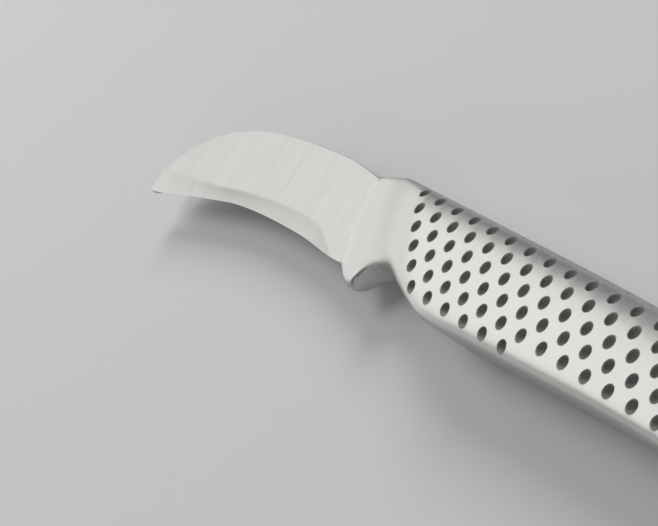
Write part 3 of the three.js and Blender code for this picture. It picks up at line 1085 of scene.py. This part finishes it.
def paint_cups(tree):
    """Lays paint with a worn edge over the steel, where the mesh is marked as painted."""
    link = tree.links.new
    shader = tree.nodes["Principled BSDF"]
    shader.inputs["Specular IOR Level"].default_value = PAINT_GLOSS
    place = node(tree, "ShaderNodeTexCoord")
    grain = node(tree, "ShaderNodeGroup", node_tree=grain_group(), Fine_Scale=4000.0, Broad_Scale=700.0)
    mark = node(tree, "ShaderNodeAttribute", attribute_name=PAINT_MARK)
    worn = node(tree, "ShaderNodeMath", operation="MULTIPLY_ADD")
    worn.inputs[1].default_value = PAINT_WEAR
    mask = node(tree, "ShaderNodeMapRange", interpolation_type="SMOOTHSTEP", From_Min=PAINT_BARE)
    dark, light = ([shade * c for c in settings("dimples").paint] for shade in PAINT_SHADES)
    ramp = two_tones(tree, PAINT_TONES, dark, light)
    cover = node(tree, "ShaderNodeMix", data_type="RGBA")
    rough = node(tree, "ShaderNodeMix", data_type="FLOAT", B=PAINT_ROUGHNESS)
    bare = node(tree, "ShaderNodeMath", operation="SUBTRACT")
    bare.inputs[0].default_value = 1.0
    link(place.outputs["Object"], grain.inputs["Vector"])
    link(grain.outputs["Tone"], ramp.inputs["Fac"])
    link(grain.outputs["Tone"], worn.inputs[0])
    link(mark.outputs["Fac"], worn.inputs[2])
    link(worn.outputs["Value"], mask.inputs["Value"])
    for mix in (cover, rough):
        link(mask.outputs["Result"], mix.inputs["Factor"])
    link(shader.inputs["Base Color"].links[0].from_socket, cover.inputs[COLOUR_A])
    link(ramp.outputs["Color"], cover.inputs[COLOUR_B])
    link(cover.outputs[COLOUR_RESULT], shader.inputs["Base Color"])
    link(shader.inputs["Roughness"].links[0].from_socket, rough.inputs["A"])
    link(rough.outputs["Result"], shader.inputs["Roughness"])
    link(mask.outputs["Result"], bare.inputs[1])
    link(bare.outputs["Value"], shader.inputs["Metallic"])


def loose_sand():
    """The balance filling inside the handle."""
    material, tree, shader, place = new_material("Loose Sand")
    link = tree.links.new
    grain = node(tree, "ShaderNodeTexVoronoi", Scale=2500.0)
    ramp = two_tones(tree, (0.0, 1.0), (0.30, 0.22, 0.12), (0.62, 0.52, 0.36))
    relief = node(tree, "ShaderNodeBump", Strength=0.6, Distance=2e-4)
    link(place, grain.inputs["Vector"])
    link(grain.outputs["Color"], ramp.inputs["Fac"])
    link(grain.outputs["Distance"], relief.inputs["Height"])
    link(ramp.outputs["Color"], shader.inputs["Base Color"])
    link(relief.outputs["Normal"], shader.inputs["Normal"])
    shader.inputs["Roughness"].default_value = 0.9
    return material


class TOURNE_OT_filling(bpy.types.Operator):
    """Finishes the balance filling inside the handle"""

    bl_idname = "tourne.filling"
    bl_label = "Filling"

    def execute(self, context):
        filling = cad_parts["sand_fill"]
        filling.data.materials.clear()
        filling.data.materials.append(loose_sand())
        return {"FINISHED"}


# Stage

# Place, aim and size of each soft lamp, in metres
LAMPS = {
    "overhead": ((-0.05, 0.07, 0.75), (0.0, 0.0, 0.0), (0.4, 0.4)),
    "spine_side": ((-0.32, 1.2, 1.0), (0.0, 0.0, 0.0), (0.8, 0.8)),
    "softbox_low": ((-0.58, -0.03, 0.085), (0.0, -0.03, 0.085), (0.62, 0.17)),
    "softbox_middle": ((-0.58, -0.03, 0.235), (0.0, -0.03, 0.235), (0.62, 0.13)),
    "softbox_high": ((-0.58, -0.03, 0.52), (0.0, -0.03, 0.2), (0.62, 0.42)),
    "card": ((-0.55, -0.49, 0.2), (0.0, 0.0, 0.05), (0.3, 0.4)),
    "front_card": ((0.5, -0.55, 0.28), (0.0, 0.0, 0.0), (0.5, 0.4)),
}
FLOOR_SIZE = 6.0
FLOOR_DROP = 0.05 * MM
SENSOR_WIDTH = 36.0
NEAR_CLIP = 0.01


def floor_material(colour):
    """Pale matt floor."""
    material, _, shader, _ = new_material("Pale Floor")
    shader.inputs["Base Color"].default_value = (*colour, 1.0)
    shader.inputs["Roughness"].default_value = 0.9
    shader.inputs["Specular IOR Level"].default_value = 0.1
    return material


def area_lamp(name, place, aim, extent, power):
    """A soft rectangular lamp that points at a place."""
    data = bpy.data.lights.new(name, "AREA")
    data.shape = "RECTANGLE"
    data.size, data.size_y = extent
    data.energy = power
    lamp = bpy.data.objects.new(name, data)
    lamp.location = place
    lamp.rotation_euler = (Vector(aim) - Vector(place)).to_track_quat("-Z", "Y").to_euler()
    bpy.context.scene.collection.objects.link(lamp)


class TOURNE_OT_stage(bpy.types.Operator):
    """Sets the camera, the pale floor and the soft light"""

    bl_idname = "tourne.stage"
    bl_label = "Stage"

    def execute(self, context):
        s = settings("stage")
        scene = context.scene
        scene.view_settings.view_transform = "Standard"
        floor_level = CAD_BOX[0][2] - FLOOR_DROP
        bpy.ops.mesh.primitive_plane_add(size=FLOOR_SIZE, location=(0.0, 0.0, floor_level))
        floor = context.object
        floor.name = "floor"
        floor.data.materials.append(floor_material(s.floor))

        world = bpy.data.worlds.new("Even Sky")
        world.use_nodes = True
        world.node_tree.nodes["Background"].inputs["Color"].default_value = (1.0, 1.0, 1.0, 1.0)
        world.node_tree.nodes["Background"].inputs["Strength"].default_value = s.sky
        scene.world = world

        for name, (place, aim, extent) in LAMPS.items():
            area_lamp(name, place, aim, extent, getattr(s, name))

        data = bpy.data.cameras.new("camera")
        data.sensor_width = SENSOR_WIDTH
        data.sensor_fit = "HORIZONTAL"
        data.lens = s.camera_lens
        data.clip_start = NEAR_CLIP
        camera = bpy.data.objects.new("camera", data)
        camera.location = own_origin() + Vector(s.camera_place)
        camera.rotation_euler = s.camera_turn
        scene.collection.objects.link(camera)
        scene.camera = camera
        return {"FINISHED"}


class TOURNE_PT_panel(bpy.types.Panel):
    """Lists the knife's pieces"""

    bl_idname = "TOURNE_PT_panel"
    bl_label = "Tourne Knife"
    bl_space_type = "VIEW_3D"
    bl_region_type = "UI"
    bl_category = "Tourne Knife"

    def draw(self, context):
        for operator in OPERATORS:
            self.layout.operator(operator.bl_idname)


OPERATORS = (TOURNE_OT_blade, TOURNE_OT_handle, TOURNE_OT_filling, TOURNE_OT_stage)
SETTINGS = {
    "blade": TourneBladeSettings,
    "handle": TourneHandleSettings,
    "dimples": TourneDimpleSettings,
    "stage": TourneStageSettings,
}


def register():
    for made in (*SETTINGS.values(), *OPERATORS, TOURNE_PT_panel):
        bpy.utils.register_class(made)
    for name, made in SETTINGS.items():
        setattr(bpy.types.Scene, "tourne_" + name, bpy.props.PointerProperty(type=made))


def unregister():
    for name in SETTINGS:
        delattr(bpy.types.Scene, "tourne_" + name)
    for made in (TOURNE_PT_panel, *OPERATORS, *SETTINGS.values()):
        bpy.utils.unregister_class(made)


def main():
    register()
    bpy.ops.tourne.blade()
    bpy.ops.tourne.handle()
    bpy.ops.tourne.filling()
    bpy.ops.tourne.stage()


if __name__ == "__main__":
    main()
